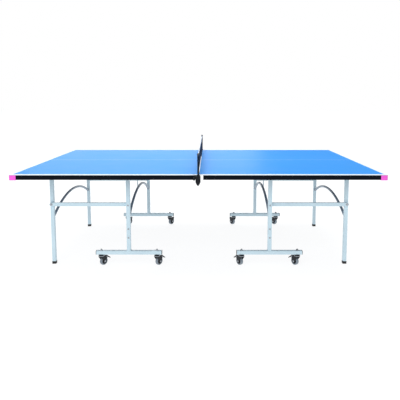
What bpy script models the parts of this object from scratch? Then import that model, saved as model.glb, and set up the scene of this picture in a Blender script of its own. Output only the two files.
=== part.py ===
"""Rollaway table tennis table: two folding halves on castor trolleys, and a lift-off net."""
import math

import bmesh
import bpy
from mathutils import Matrix, Vector

# The table lies along X and stands on z = 0. The net crosses it at x = 0.
# Each half is drawn once, on the +X side, and the other is the same half turned round.

# Playing top
tableLength = 2.740
tableWidth = 1.525
tableHeight = 0.760
boardThick = 0.005
netLineGap = 0.005

# Frame and apron under each board
apronHeight = 0.033
railWidth = 0.025
channelWall = 0.002
apronStop = 0.035
cornerRadius = 0.010

# Corner protectors
protectorSide = 0.052
protectorWall = 0.003
protectorFloor = 0.0027

# Trolley
uprightX = 0.550
uprightY = 0.555
uprightSize = 0.030
pivotDrop = 0.0217
headAbovePivot = 0.010
footLength = 0.510
tubeWall = 0.002
tubeCorner = 0.003
archTube = 0.021
archEndHeight = 0.385
archCrownHeight = 0.530
linkHeight = 0.484

# End legs and link bars
legInset = 0.215
legSize = 0.028
linkThick = 0.016
linkDepth = 0.028
linkPlay = 0.002
rubberHeight = 0.020
legArchEndHeight = 0.380
legArchCrownHeight = 0.497

# Castors
stemSpacing = 0.437
stemRadius = 0.005
wheelRadius = 0.032
wheelWidth = 0.024
trail = 0.022
wheelRoom = 0.009
headHeight = 0.019
armThick = 0.0025
pedalRoom = 0.0074
pedalLean = math.radians(30.5)
pedalReach = 0.041
pedalDrop = 0.023
swivelAngle = math.radians(53.5)

# Net
netHeight = 0.1525
netThick = 0.0016
netPostY = tableWidth / 2 + 0.0225
netPostRadius = 0.007

# Clearances
touch = 0.0003
slide = 0.0005
pinRadius = 0.005
smallPinRadius = 0.004
pinClearance = 0.0004
lugThick = 0.004
lugRadius = 0.016

boardTop = tableHeight
boardUnder = boardTop - boardThick
frameTop = boardUnder - touch
frameUnder = frameTop - apronHeight
boardEnd = tableLength / 2
sideY = tableWidth / 2
pivotHeight = frameUnder - pivotDrop
headUnder = wheelRadius * 2 + wheelRoom
footHeight = headUnder + headHeight
footTop = footHeight + uprightSize
legX = boardEnd - legInset
sideGap = linkThick + 2 * linkPlay
rubberSize = legSize + 2 * (linkPlay - slide)
pedalPivotX = trail + (wheelRadius + pedalRoom) * math.sin(pedalLean)
pedalPivotZ = wheelRadius + (wheelRadius + pedalRoom) * math.cos(pedalLean)
uprightInner = uprightY - uprightSize / 2
legOuter = uprightInner - sideGap
legY = legOuter - legSize / 2
legInner = legOuter - legSize
linkY = (uprightInner + legOuter) / 2
uprightHead = pivotHeight + headAbovePivot
lugOneY = uprightY + uprightSize / 2 + slide + lugThick / 2
lugTwoY = legInner - slide - lugThick / 2

for thing in list(bpy.data.objects):
    bpy.data.objects.remove(thing)

partCollection = bpy.data.collections.new("table_tennis_table")
bpy.context.scene.collection.children.link(partCollection)


def makeMaterial(name, colour, roughness, metallic=0.0):
    material = bpy.data.materials.new(name)
    material.use_nodes = True
    shader = material.node_tree.nodes["Principled BSDF"]
    shader.inputs["Base Color"].default_value = (*colour, 1.0)
    shader.inputs["Roughness"].default_value = roughness
    shader.inputs["Metallic"].default_value = metallic
    return material


def empty(name, place, parent=None, turn=0.0):
    holder = bpy.data.objects.new(name, None)
    holder.location = place
    holder.rotation_euler = (0.0, 0.0, turn)
    holder.parent = parent
    partCollection.objects.link(holder)
    return holder


def addPart(name, mesh, parent, place, look, turn=0.0, tilt=0.0, smooth=False):
    piece = bpy.data.objects.new(name, mesh)
    piece.location = place
    piece.rotation_euler = (tilt, 0.0, turn)
    piece.parent = parent
    partCollection.objects.link(piece)
    colour, roughness, metallic = look
    material = makeMaterial(name + "_paint", colour, roughness, metallic)
    if not mesh.materials:
        mesh.materials.append(material)
    piece.material_slots[0].link = "OBJECT"
    piece.material_slots[0].material = material
    if smooth:
        mesh.shade_smooth()
        mesh.set_sharp_from_angle(angle=math.radians(35))
    return piece


def boxMesh(low, high):
    mesh = bpy.data.meshes.new("box")
    solid = bmesh.new()
    bmesh.ops.create_cube(solid, size=1.0)
    for vertex in solid.verts:
        vertex.co = Vector(
            low[axis] + (vertex.co[axis] + 0.5) * (high[axis] - low[axis]) for axis in range(3)
        )
    solid.to_mesh(mesh)
    solid.free()
    return mesh


def rodMesh(radius, start, end, sides=12):
    start = Vector(start)
    end = Vector(end)
    mesh = bpy.data.meshes.new("rod")
    solid = bmesh.new()
    bmesh.ops.create_cone(
        solid, cap_ends=True, segments=sides, radius1=radius, radius2=radius,
        depth=(end - start).length,
    )
    turn = (end - start).to_track_quat("Z", "Y").to_matrix().to_4x4()
    solid.transform(Matrix.Translation((start + end) / 2) @ turn)
    solid.to_mesh(mesh)
    solid.free()
    return mesh


def arcPoints(centre, radius, startAngle, endAngle, steps):
    points = []
    for step in range(steps + 1):
        angle = math.radians(startAngle + (endAngle - startAngle) * step / steps)
        points.append((centre[0] + radius * math.cos(angle), centre[1] + radius * math.sin(angle)))
    return points


def circlePoints(centre, radius, sides=12):
    return arcPoints(centre, radius, 0.0, 360.0, sides)[:-1]


def roundedPoints(width, height, radius, steps=2):
    across = width / 2 - radius
    up = height / 2 - radius
    points = []
    for signX, signY, start in ((1, 1, 0), (-1, 1, 90), (-1, -1, 180), (1, -1, 270)):
        points += arcPoints((signX * across, signY * up), radius, start, start + 90, steps)
    return points


def plateMesh(loops, thickness):
    """A flat outline with its holes, given a thickness either side of its own plane."""
    curve = bpy.data.curves.new("outline", "CURVE")
    curve.dimensions = "2D"
    curve.fill_mode = "BOTH"
    curve.extrude = thickness / 2
    for loop in loops:
        spline = curve.splines.new("POLY")
        spline.points.add(len(loop) - 1)
        spline.use_cyclic_u = True
        for point, (x, y) in zip(spline.points, loop):
            point.co = (x, y, 0.0, 1.0)
    return meshFromCurve(curve)


def meshFromCurve(curve):
    holder = bpy.data.objects.new("outline", curve)
    partCollection.objects.link(holder)
    graph = bpy.context.evaluated_depsgraph_get()
    mesh = bpy.data.meshes.new_from_object(holder.evaluated_get(graph))
    mesh.materials.clear()
    bpy.data.objects.remove(holder)
    bpy.data.curves.remove(curve)
    solid = bmesh.new()
    solid.from_mesh(mesh)
    bmesh.ops.remove_doubles(solid, verts=solid.verts, dist=0.00001)
    bmesh.ops.recalc_face_normals(solid, faces=solid.faces)
    solid.to_mesh(mesh)
    solid.free()
    return mesh


def moved(mesh, place):
    mesh.transform(Matrix.Translation(place))
    return mesh


def standUp(mesh):
    """Turns a flat plate so that its outline stands in the X and Z directions."""
    mesh.transform(Matrix.Rotation(math.radians(90), 4, "X"))
    return mesh


def lieAlong(mesh):
    """Turns an upright tube so that it runs along X."""
    mesh.transform(Matrix.Rotation(math.radians(90), 4, "Y"))
    return mesh


def combine(base, others, operation):
    holder = bpy.data.objects.new("base", base)
    partCollection.objects.link(holder)
    operands = []
    for mesh in others:
        operand = bpy.data.objects.new("operand", mesh)
        partCollection.objects.link(operand)
        operands.append(operand)
        step = holder.modifiers.new("combine", "BOOLEAN")
        step.operation = operation
        step.solver = "EXACT"
        step.object = operand
    graph = bpy.context.evaluated_depsgraph_get()
    result = bpy.data.meshes.new_from_object(holder.evaluated_get(graph))
    result.materials.clear()
    for operand in operands + [holder]:
        bpy.data.objects.remove(operand)
    return result


def fuse(base, others):
    return combine(base, others, "UNION")


def carve(base, others):
    return combine(base, others, "DIFFERENCE")


def tubeMesh(size, length, centre, along="Z"):
    inner = size - 2 * tubeWall
    outline = roundedPoints(size, size, tubeCorner)
    hollow = roundedPoints(inner, inner, tubeCorner - tubeWall, 1)
    mesh = plateMesh([outline, hollow], length)
    if along == "X":
        lieAlong(mesh)
    return moved(mesh, centre)


def turnedMesh(profile):
    """The edge of a turned piece: radius and height pairs, closed into a ring."""
    mesh = bpy.data.meshes.new("profile")
    solid = bmesh.new()
    ring = [solid.verts.new((radius, 0.0, height)) for radius, height in profile]
    for first, second in zip(ring, ring[1:] + ring[:1]):
        solid.edges.new((first, second))
    solid.to_mesh(mesh)
    solid.free()
    return mesh


def addScrew(piece, steps):
    turn = piece.modifiers.new("turn", "SCREW")
    turn.axis = "Z"
    turn.angle = math.radians(360)
    turn.steps = steps
    turn.render_steps = steps
    turn.use_merge_vertices = True
    turn.merge_threshold = 0.00001
    turn.use_normal_calculate = True
    turn.use_smooth_shade = True


def addBevel(piece, width, segments=1):
    rounding = piece.modifiers.new("rounding", "BEVEL")
    rounding.width = width
    rounding.segments = segments
    rounding.limit_method = "ANGLE"
    rounding.angle_limit = math.radians(60)


def archMesh(halfSpan, endHeight, crownHeight, sections=14):
    """A bowed cross tube: short level ends and one even curve up to its crown."""
    level = 0.012
    rise = crownHeight - endHeight
    bow = halfSpan - level
    radius = (bow * bow + rise * rise) / (2 * rise)
    spread = math.asin(bow / radius)
    points = [(-halfSpan, endHeight)]
    for step in range(sections + 1):
        angle = spread * (2 * step / sections - 1)
        points.append((radius * math.sin(angle), crownHeight - radius + radius * math.cos(angle)))
    points.append((halfSpan, endHeight))
    curve = bpy.data.curves.new("arch", "CURVE")
    curve.dimensions = "3D"
    curve.bevel_depth = archTube / 2
    curve.bevel_resolution = 2
    curve.use_fill_caps = True
    spline = curve.splines.new("POLY")
    spline.points.add(len(points) - 1)
    for point, (y, z) in zip(spline.points, points):
        point.co = (0.0, y, z, 1.0)
    return meshFromCurve(curve)


# Boards: 5 mm panels, square to the net and rounded a little at the two outer corners.
def boardOutline(start, end, inset=0.0):
    radius = cornerRadius - inset
    outerX = end - inset
    outerY = sideY - inset
    points = [(start + inset, -outerY)]
    points += arcPoints((outerX - radius, -outerY + radius), radius, -90, 0, 3)
    points += arcPoints((outerX - radius, outerY - radius), radius, 0, 90, 3)
    points.append((start + inset, outerY))
    return points


boardMesh = moved(
    plateMesh([boardOutline(netLineGap, boardEnd)], boardThick),
    (0.0, 0.0, boardTop - boardThick / 2),
)

# Frame: an open-bottomed channel all round, with cross channels over both pairs of legs.
railStarts = (apronStop, uprightX - railWidth / 2, legX - railWidth / 2, boardEnd - railWidth)


def ladderMesh(inset, top):
    middle = top - apronHeight / 2
    slab = moved(plateMesh([boardOutline(apronStop, boardEnd, inset)], apronHeight), (0, 0, middle))
    reach = sideY - railWidth + inset
    windows = []
    for near, far in zip(railStarts, railStarts[1:]):
        low = (near + railWidth - inset, -reach, middle - apronHeight)
        high = (far + inset, reach, middle + apronHeight)
        windows.append(boxMesh(low, high))
    return carve(slab, windows)


def lugMesh(x, y):
    top = frameTop - channelWall / 2 - pivotHeight
    outline = [(lugRadius, top), (-lugRadius, top)]
    outline += arcPoints((0.0, 0.0), lugRadius, 180, 360, 8)
    hole = circlePoints((0.0, 0.0), pinRadius + pinClearance)
    return moved(standUp(plateMesh([outline, hole], lugThick)), (x, y, pivotHeight))


hookPivotX = uprightX + 0.012
hookPivotZ = archCrownHeight + 0.065
hookPinRadius = 0.003
stayThick = 0.006
stayOutline = [
    (uprightX + 0.024, frameTop - channelWall / 2),
    (uprightX - 0.010, frameTop - channelWall / 2),
    (uprightX - 0.004, (frameTop + hookPivotZ) / 2),
]
stayOutline += arcPoints((hookPivotX, hookPivotZ), 0.011, 180, 360, 8)

frameMesh = carve(ladderMesh(0.0, frameTop), [ladderMesh(channelWall, frameTop - channelWall)])
frameExtras = [lugMesh(uprightX, side * lugOneY) for side in (-1, 1)]
frameExtras += [lugMesh(legX, side * lugTwoY) for side in (-1, 1)]
frameExtras.append(standUp(plateMesh([stayOutline], stayThick)))
frameExtras.append(
    rodMesh(
        hookPinRadius,
        (hookPivotX, stayThick / 2 - 0.001, hookPivotZ),
        (hookPivotX, stayThick / 2 + 0.010, hookPivotZ),
    )
)
frameMesh = fuse(frameMesh, frameExtras)

# Lock hook: hangs on its pin on the stay, passes outside the arch and turns in under it.
hookThick = 0.005
hookY = stayThick / 2 + slide + hookThick / 2
crownX = uprightX - hookPivotX
crownUnder = archCrownHeight - archTube / 2 - hookPivotZ
hookBack = crownX + archTube / 2 + 0.0025
noseTop = crownUnder - 0.0025
noseUnder = noseTop - 0.006
hookOutline = [
    (0.009, 0.0),
    (0.009, -0.010),
    (hookBack + 0.008, -0.020),
    (hookBack + 0.008, noseUnder + 0.003),
    (hookBack + 0.005, noseUnder),
    (crownX - 0.006, noseUnder),
    (crownX - 0.006, noseTop),
    (hookBack, noseTop),
    (hookBack, -0.020),
    (-0.009, -0.006),
    (-0.009, 0.0),
]
hookOutline += arcPoints((0.0, 0.0), 0.009, 180, 0, 8)[1:-1]
hookHole = circlePoints((0.0, 0.0), hookPinRadius + pinClearance)
hookMesh = standUp(plateMesh([hookOutline, hookHole], hookThick))

# Corner protectors: a cup that wraps the outside and underside of the apron corner.
protectorTop = boardUnder - touch
protectorUnder = frameUnder - touch - protectorFloor
protectorHeight = protectorTop - protectorUnder


def protectorOutline(edge, inner, radius):
    points = [(inner, inner), (edge, inner)]
    points += arcPoints((edge - radius, edge - radius), radius, 0, 90, 3)
    points.append((inner, edge))
    return points


protectorInner = protectorWall - protectorSide
protectorOutside = protectorOutline(protectorWall, protectorInner, cornerRadius + protectorWall)
pocketOutline = protectorOutline(touch, protectorInner - 0.01, cornerRadius + touch)
protectorMesh = moved(
    plateMesh([protectorOutside], protectorHeight),
    (0.0, 0.0, protectorUnder + protectorHeight / 2),
)
pocketMesh = moved(plateMesh([pocketOutline], 0.1), (0.0, 0.0, frameUnder - touch + 0.05))
protectorMesh = carve(protectorMesh, [pocketMesh])

# Uprights: square tube with the fold pin on the outer face and the link pin on the inner.
uprightLength = uprightHead - footTop - touch
uprightMesh = tubeMesh(uprightSize, uprightLength, (0.0, 0.0, uprightHead - uprightLength / 2))
uprightMesh = fuse(
    uprightMesh,
    [
        rodMesh(
            pinRadius,
            (0.0, -uprightSize / 2 + tubeWall / 2, pivotHeight),
            (0.0, uprightSize / 2 + slide + lugThick + 0.003, pivotHeight),
        ),
        rodMesh(
            smallPinRadius,
            (0.0, uprightSize / 2 - tubeWall / 2, linkHeight),
            (0.0, -uprightSize / 2 - sideGap + 0.0015, linkHeight),
        ),
    ],
)

# T-foot: a level tube under each upright, drilled through for the two castor stems.
footMesh = tubeMesh(uprightSize, footLength, (0.0, 0.0, footHeight + uprightSize / 2), "X")
footMesh = carve(
    footMesh,
    [
        rodMesh(
            stemRadius + pinClearance,
            (side * stemSpacing / 2, 0.0, footHeight - 0.01),
            (side * stemSpacing / 2, 0.0, footTop + 0.01),
        )
        for side in (-1, 1)
    ],
)

# Cross arches
trolleyArchMesh = archMesh(uprightInner - touch, archEndHeight, archCrownHeight)
legArchMesh = archMesh(legInner - touch, legArchEndHeight, legArchCrownHeight)

# End legs: square tube, top pin on the inner face and link pin on the outer face.
legLength = uprightHead - rubberHeight - touch
legMesh = tubeMesh(legSize, legLength, (0.0, 0.0, uprightHead - legLength / 2))
legMesh = fuse(
    legMesh,
    [
        rodMesh(
            pinRadius,
            (0.0, legSize / 2 - tubeWall / 2, pivotHeight),
            (0.0, -legSize / 2 - slide - lugThick - 0.003, pivotHeight),
        ),
        rodMesh(
            smallPinRadius,
            (0.0, -legSize / 2 + tubeWall / 2, linkHeight),
            (0.0, legSize / 2 + sideGap - 0.0015, linkHeight),
        ),
    ],
)

# Rubber feet: a square pad with a plug pushed up into the leg tube.
plugHalf = legSize / 2 - tubeWall - slide
rubberPad = plateMesh([roundedPoints(rubberSize, rubberSize, 0.004)], rubberHeight)
rubberMesh = fuse(
    moved(rubberPad, (0.0, 0.0, rubberHeight / 2)),
    [boxMesh((-plugHalf, -plugHalf, 0.010), (plugHalf, plugHalf, rubberHeight + 0.012))],
)

# Link bars: flat bars with round ends, drilled at both ends for the link pins.
linkLength = legX - uprightX
linkOutline = arcPoints((0.0, 0.0), linkDepth / 2, 90, 270, 8)
linkOutline += arcPoints((linkLength, 0.0), linkDepth / 2, -90, 90, 8)
linkHole = smallPinRadius + pinClearance
linkMesh = standUp(
    plateMesh(
        [linkOutline, circlePoints((0.0, 0.0), linkHole), circlePoints((linkLength, 0.0), linkHole)],
        linkThick,
    )
)

# Castors: a stem and bearing head, two side arms, an axle, and a pin for the brake pedal.
headTop = footHeight - 0.0008
armY = wheelWidth / 2 + 0.002 + armThick / 2
armOutline = [
    (-0.017, headUnder + 0.005),
    (-0.014, headUnder - 0.006),
    (trail - 0.009, wheelRadius - 0.002),
]
armOutline += arcPoints((trail, wheelRadius), 0.009, 195, 345, 4)
armOutline += [
    (pedalPivotX + 0.006, pedalPivotZ - 0.006),
    (pedalPivotX + 0.007, pedalPivotZ + 0.004),
    (pedalPivotX + 0.002, headUnder + 0.005),
]
forkMesh = fuse(
    rodMesh(0.021, (0.0, 0.0, headUnder), (0.0, 0.0, headTop), 16),
    [rodMesh(stemRadius, (0.0, 0.0, headTop - 0.003), (0.0, 0.0, footTop + 0.012))]
    + [moved(standUp(plateMesh([armOutline], armThick)), (0.0, side * armY, 0.0)) for side in (-1, 1)]
    + [
        rodMesh(smallPinRadius, (trail, -armY - 0.004, wheelRadius), (trail, armY + 0.004, wheelRadius)),
        rodMesh(0.002, (pedalPivotX, -armY, pedalPivotZ), (pedalPivotX, armY, pedalPivotZ), 8),
    ],
)

wheelHalf = wheelWidth / 2
wheelBore = smallPinRadius + pinClearance
wheelProfile = [
    (wheelBore, wheelHalf),
    (wheelRadius * 0.35, wheelHalf),
    (wheelRadius * 0.80, wheelHalf - 0.003),
    (wheelRadius * 0.92, wheelHalf - 0.0005),
    (wheelRadius, wheelHalf - 0.004),
]
wheelProfile += [(radius, -height) for radius, height in reversed(wheelProfile)]
wheelMesh = turnedMesh(wheelProfile)

pedalTip = (pedalReach, -pedalDrop)
pedalOutline = arcPoints((0.0, 0.0), 0.0045, 60, 270, 7)
pedalOutline += [
    (0.006, -0.0045),
    (pedalTip[0] - 0.004, pedalTip[1] - 0.002),
    (pedalTip[0], pedalTip[1]),
    (pedalTip[0] - 0.001, pedalTip[1] + 0.003),
    (0.012, 0.0025),
]
pedalMesh = standUp(
    plateMesh([pedalOutline, circlePoints((0.0, 0.0), 0.002 + pinClearance)], wheelWidth - 0.002)
)

# Net: two turned posts with a tongue below, and the net panel between them.
netFoot = boardTop + 0.0025
netTop = boardTop + netHeight
bracketTop = boardTop - 0.008
postProfile = [
    (0.003, netTop + 0.0055),
    (netPostRadius + 0.001, netTop + 0.0055),
    (netPostRadius + 0.002, netTop + 0.003),
    (netPostRadius + 0.002, netTop - 0.010),
    (netPostRadius, netTop - 0.012),
    (netPostRadius, bracketTop + 0.012),
    (netPostRadius + 0.005, bracketTop + 0.009),
    (netPostRadius + 0.005, bracketTop + touch),
    (0.003, bracketTop + touch),
]
tongueWidth = 0.008
tongueDepth = 0.012
tongueLength = 0.040

# Net brackets: a block outside the board edge with a pocket for the post's tongue, a tail
# that narrows below it, and an arm under the board to the frame's net-end channel.
bracketLow = -0.020
bracketHigh = 0.016
bracketDepth = 0.036
bracketInner = sideY + 0.0008
pocketPlay = 0.006


def bracketMesh(side):
    middle = (bracketLow + bracketHigh) / 2
    outline = [
        (bracketLow, bracketTop),
        (bracketLow, bracketTop - 0.042),
        (middle - 0.006, bracketTop - 0.066),
        (middle + 0.006, bracketTop - 0.066),
        (bracketHigh, bracketTop - 0.042),
        (bracketHigh, bracketTop),
    ]
    block = standUp(plateMesh([outline], bracketDepth))
    moved(block, (0.0, side * (bracketInner + bracketDepth / 2), 0.0))
    armEdges = sorted((side * (sideY - 0.070), side * (bracketInner + 0.006)))
    arm = boxMesh(
        (-apronStop + touch, armEdges[0], frameUnder + 0.003),
        (-netLineGap - 0.004, armEdges[1], frameTop - slide),
    )
    pocketHalf = tongueWidth / 2 + pocketPlay
    pocketY = side * netPostY
    pocket = boxMesh(
        (-pocketHalf, pocketY - tongueDepth / 2 - slide, bracketTop - tongueLength - 0.004),
        (pocketHalf, pocketY + tongueDepth / 2 + slide, bracketTop + 0.01),
    )
    return carve(fuse(block, [arm]), [pocket])


white = ((0.80, 0.86, 0.92), 0.35, 0.0)
blue = ((0.06, 0.28, 0.75), 0.45, 0.0)
black = ((0.012, 0.014, 0.020), 0.5, 0.0)
pink = ((0.90, 0.12, 0.70), 0.5, 0.0)
rubber = ((0.02, 0.02, 0.02), 0.8, 0.0)
netBlue = ((0.03, 0.09, 0.18), 0.8, 0.0)

for half, turn in (("left", math.pi), ("right", 0.0)):
    flip = -1 if half == "left" else 1
    base = empty(half + "_trolley", (0.0, 0.0, 0.0), None, turn)
    top = empty(half + "_top", (uprightX, 0.0, pivotHeight), base)
    legs = empty(half + "_legs", (linkLength, 0.0, 0.0), top)
    links = empty(half + "_links", (uprightX, 0.0, linkHeight), base)
    backTop = (-uprightX, 0.0, -pivotHeight)

    board = addPart(half + "_board", boardMesh, top, backTop, blue)
    addBevel(board, 0.0008)
    addPart(half + "_frame", frameMesh, top, backTop, black)
    hookPlace = (hookPivotX - uprightX, hookY, hookPivotZ - pivotHeight)
    addPart(half + "_lock_hook", hookMesh, top, hookPlace, white)

    for side in (-1, 1):
        name = "near" if side * flip < 0 else "far"
        cornerTurn = 0.0 if side > 0 else -math.pi / 2
        place = (boardEnd - uprightX, side * sideY, -pivotHeight)
        addPart(f"{half}_{name}_corner", protectorMesh, top, place, pink, cornerTurn)

        faceTurn = 0.0 if side > 0 else math.pi
        place = (uprightX, side * uprightY, 0.0)
        addPart(f"{half}_{name}_upright", uprightMesh, base, place, white, faceTurn)
        addPart(f"{half}_{name}_foot_tube", footMesh, base, place, white)
        for offset in (-1, 1):
            post = "inner" if offset < 0 else "outer"
            label = f"{half}_{name}_{post}"
            heading = swivelAngle if half == "left" else math.pi - swivelAngle
            stem = (uprightX + offset * stemSpacing / 2, side * uprightY, 0.0)
            swivel = empty(label + "_swivel", stem, base, heading - turn)
            addPart(label + "_fork", forkMesh, swivel, (0.0, 0.0, 0.0), black)
            axle = (trail, 0.0, wheelRadius)
            quarter = math.pi / 2
            wheel = addPart(label + "_wheel", wheelMesh, swivel, axle, rubber, 0.0, quarter)
            addScrew(wheel, 16)
            if name == "near":
                pin = (pedalPivotX, 0.0, pedalPivotZ)
                addPart(label + "_brake_pedal", pedalMesh, swivel, pin, black)

        place = (0.0, side * legY, -pivotHeight)
        addPart(f"{half}_{name}_end_leg", legMesh, legs, place, white, faceTurn)
        addPart(f"{half}_{name}_rubber_foot", rubberMesh, legs, place, rubber)
        addPart(f"{half}_{name}_link_bar", linkMesh, links, (0.0, side * linkY, 0.0), white)

    addPart(half + "_trolley_arch", trolleyArchMesh, base, (uprightX, 0.0, 0.0), white, 0, 0, True)
    addPart(half + "_leg_arch", legArchMesh, legs, (0.0, 0.0, -pivotHeight), white, 0, 0, True)

netSet = empty("net_set", (0.0, 0.0, boardTop))
leftTop = bpy.data.objects["left_top"]
for name, side in (("near", -1), ("far", 1)):
    # The left half is turned round, so its own near side is the table's far side.
    bracket = bracketMesh(side)
    bracket.transform(Matrix.Rotation(math.pi, 4, "Z"))
    addPart(f"{name}_net_bracket", bracket, leftTop, backTop, black)
    tongue = boxMesh(
        (-tongueWidth / 2, -tongueDepth / 2, bracketTop - tongueLength),
        (tongueWidth / 2, tongueDepth / 2, bracketTop + 0.006),
    )
    holder = bpy.data.objects.new("shaft", turnedMesh(postProfile))
    partCollection.objects.link(holder)
    addScrew(holder, 12)
    graph = bpy.context.evaluated_depsgraph_get()
    shaft = bpy.data.meshes.new_from_object(holder.evaluated_get(graph))
    bpy.data.objects.remove(holder)
    place = (0.0, side * netPostY, -boardTop)
    addPart(f"{name}_net_post", fuse(shaft, [tongue]), netSet, place, black)

netEnd = netPostY - netPostRadius - 0.002 - slide
netMesh = boxMesh((-netThick / 2, -netEnd, netFoot), (netThick / 2, netEnd, netTop))
addPart("net", netMesh, netSet, (0.0, 0.0, -boardTop), netBlue)
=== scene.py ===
import math

import bmesh
import bpy
from mathutils import Matrix, Vector


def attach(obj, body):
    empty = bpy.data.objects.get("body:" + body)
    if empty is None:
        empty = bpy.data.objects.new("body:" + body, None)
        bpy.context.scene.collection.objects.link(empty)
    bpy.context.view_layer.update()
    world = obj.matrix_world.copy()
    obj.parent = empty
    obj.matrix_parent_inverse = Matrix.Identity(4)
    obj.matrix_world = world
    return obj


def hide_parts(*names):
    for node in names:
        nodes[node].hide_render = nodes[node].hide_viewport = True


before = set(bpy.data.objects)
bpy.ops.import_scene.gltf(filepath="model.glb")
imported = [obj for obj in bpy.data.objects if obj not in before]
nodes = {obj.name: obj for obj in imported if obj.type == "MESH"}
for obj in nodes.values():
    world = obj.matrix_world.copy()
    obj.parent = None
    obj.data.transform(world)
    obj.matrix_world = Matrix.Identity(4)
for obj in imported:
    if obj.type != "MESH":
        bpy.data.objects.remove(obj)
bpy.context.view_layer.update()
scene = bpy.context.scene
print("table frame loaded")

camera = {
    "place": (0.0806, -3.859, 1.3107),
    "pitch": 5.73,  # degrees below level
    "lens": 39.07,
    "shift": (-0.0238, -0.1459),
}

table = {
    "height": 0.760,
    "halfLength": 1.370,
    "halfWidth": 0.7625,
    "boardUnder": 0.755,
    "frameUnder": 0.7217,
    "uprightX": 0.550,
    "uprightY": 0.555,
    "uprightHalf": 0.015,
    "legX": 1.155,
    "legY": 0.506,
    "legHalf": 0.014,
    "pivotHeight": 0.700,
    "linkHeight": 0.484,
    "headHeight": 0.710,
    "footTop": 0.122,
    "footUnder": 0.092,
    "headUnder": 0.073,
    "footHalf": 0.255,
}

halves = (("left", -1), ("right", 1))
sides = (("near", -1), ("far", 1))


def meshOf(solid, name, smooth=True, angle=40):
    bmesh.ops.recalc_face_normals(solid, faces=solid.faces)
    mesh = bpy.data.meshes.new(name)
    solid.to_mesh(mesh)
    solid.free()
    if smooth:
        mesh.shade_smooth()
        mesh.set_sharp_from_angle(angle=math.radians(angle))
    return mesh


def roundedBox(low, high, radius, segments=2):
    solid = bmesh.new()
    bmesh.ops.create_cube(solid, size=1.0)
    for vertex in solid.verts:
        for axis in range(3):
            span = high[axis] - low[axis]
            vertex.co[axis] = low[axis] + (vertex.co[axis] + 0.5) * span
    bmesh.ops.bevel(
        solid, geom=solid.edges[:], offset=radius, segments=segments, profile=0.5, affect="EDGES"
    )
    return meshOf(solid, "box")


def turned(profile, steps=32):
    # profile runs from the top of the axis to its bottom, as (radius, height)
    solid = bmesh.new()
    rings = []
    for radius, height in profile:
        if radius < 1e-6:
            rings.append([solid.verts.new((0.0, 0.0, height))])
            continue
        ring = []
        for step in range(steps):
            angle = 2 * math.pi * step / steps
            ring.append(solid.verts.new((radius * math.cos(angle), radius * math.sin(angle), height)))
        rings.append(ring)
    closed = profile[0][0] > 1e-6 and profile[-1][0] > 1e-6
    pairs = list(zip(rings, rings[1:]))
    if closed:
        pairs.append((rings[-1], rings[0]))
    for upper, lower in pairs:
        for step in range(steps):
            after = (step + 1) % steps
            corners = [upper[step % len(upper)], upper[after % len(upper)]]
            corners += [lower[after % len(lower)], lower[step % len(lower)]]
            solid.faces.new(list(dict.fromkeys(corners)))
    return meshOf(solid, "turned")


def placed(mesh, matrix):
    copy = mesh.copy()
    copy.transform(matrix)
    return copy


def together(meshes, name):
    solid = bmesh.new()
    for mesh in meshes:
        solid.from_mesh(mesh)
    joined = bpy.data.meshes.new(name)
    solid.to_mesh(joined)
    solid.free()
    return joined


def aimed(place, direction):
    turn = Vector(direction).to_track_quat("Z", "Y").to_matrix().to_4x4()
    return Matrix.Translation(Vector(place)) @ turn


def addPiece(name, mesh, material, body, stands=()):
    piece = bpy.data.objects.new(name, mesh)
    scene.collection.objects.link(piece)
    mesh.materials.clear()
    mesh.materials.append(material)
    if stands:
        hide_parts(*stands)
    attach(piece, body)
    return piece


def softened(node, width, segments=2):
    # a copy of a CAD piece, merged, with its sharp edges rounded
    solid = bmesh.new()
    solid.from_mesh(nodes[node].data)
    bmesh.ops.remove_doubles(solid, verts=solid.verts, dist=0.00002)
    flat = [edge for edge in solid.edges if edge.calc_face_angle(1.0) < math.radians(1)]
    bmesh.ops.dissolve_edges(solid, edges=flat, use_verts=False)
    sharp = [edge for edge in solid.edges if edge.calc_face_angle(0.0) > math.radians(50)]
    bmesh.ops.bevel(
        solid, geom=sharp, offset=width, segments=segments, profile=0.5, affect="EDGES",
        clamp_overlap=True,
    )
    return meshOf(solid, node + "Soft", True, 35)


def linkTo(tree, output, target):
    tree.links.new(output, target)


def newGroup(name, inputs, outputs):
    group = bpy.data.node_groups.new(name, "ShaderNodeTree")
    for label, kind, value in inputs:
        socket = group.interface.new_socket(label, in_out="INPUT", socket_type=kind)
        if value is not None:
            socket.default_value = value
    for label, kind in outputs:
        group.interface.new_socket(label, in_out="OUTPUT", socket_type=kind)
    start = group.nodes.new("NodeGroupInput")
    end = group.nodes.new("NodeGroupOutput")
    return group, start, end


def mathNode(tree, operation, first, second=None, clamp=False, third=None):
    node = tree.nodes.new("ShaderNodeMath")
    node.operation = operation
    node.use_clamp = clamp
    for socket, value in zip(node.inputs, (first, second, third)):
        if value is None:
            continue
        if isinstance(value, (int, float)):
            socket.default_value = value
        else:
            tree.links.new(value, socket)
    return node.outputs[0]


def mixColour(tree, factor, first, second):
    node = tree.nodes.new("ShaderNodeMix")
    node.data_type = "RGBA"
    for socket, value in ((node.inputs[0], factor), (node.inputs[6], first), (node.inputs[7], second)):
        if isinstance(value, (int, float, tuple)):
            socket.default_value = value
        else:
            tree.links.new(value, socket)
    return node.outputs[2]


def noiseNode(tree, vector, scale, detail=3.0, rough=0.5):
    node = tree.nodes.new("ShaderNodeTexNoise")
    node.inputs["Detail"].default_value = detail
    node.inputs["Roughness"].default_value = rough
    if isinstance(scale, (int, float)):
        node.inputs["Scale"].default_value = scale
    else:
        tree.links.new(scale, node.inputs["Scale"])
    tree.links.new(vector, node.inputs["Vector"])
    return node.outputs["Fac"]


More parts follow.
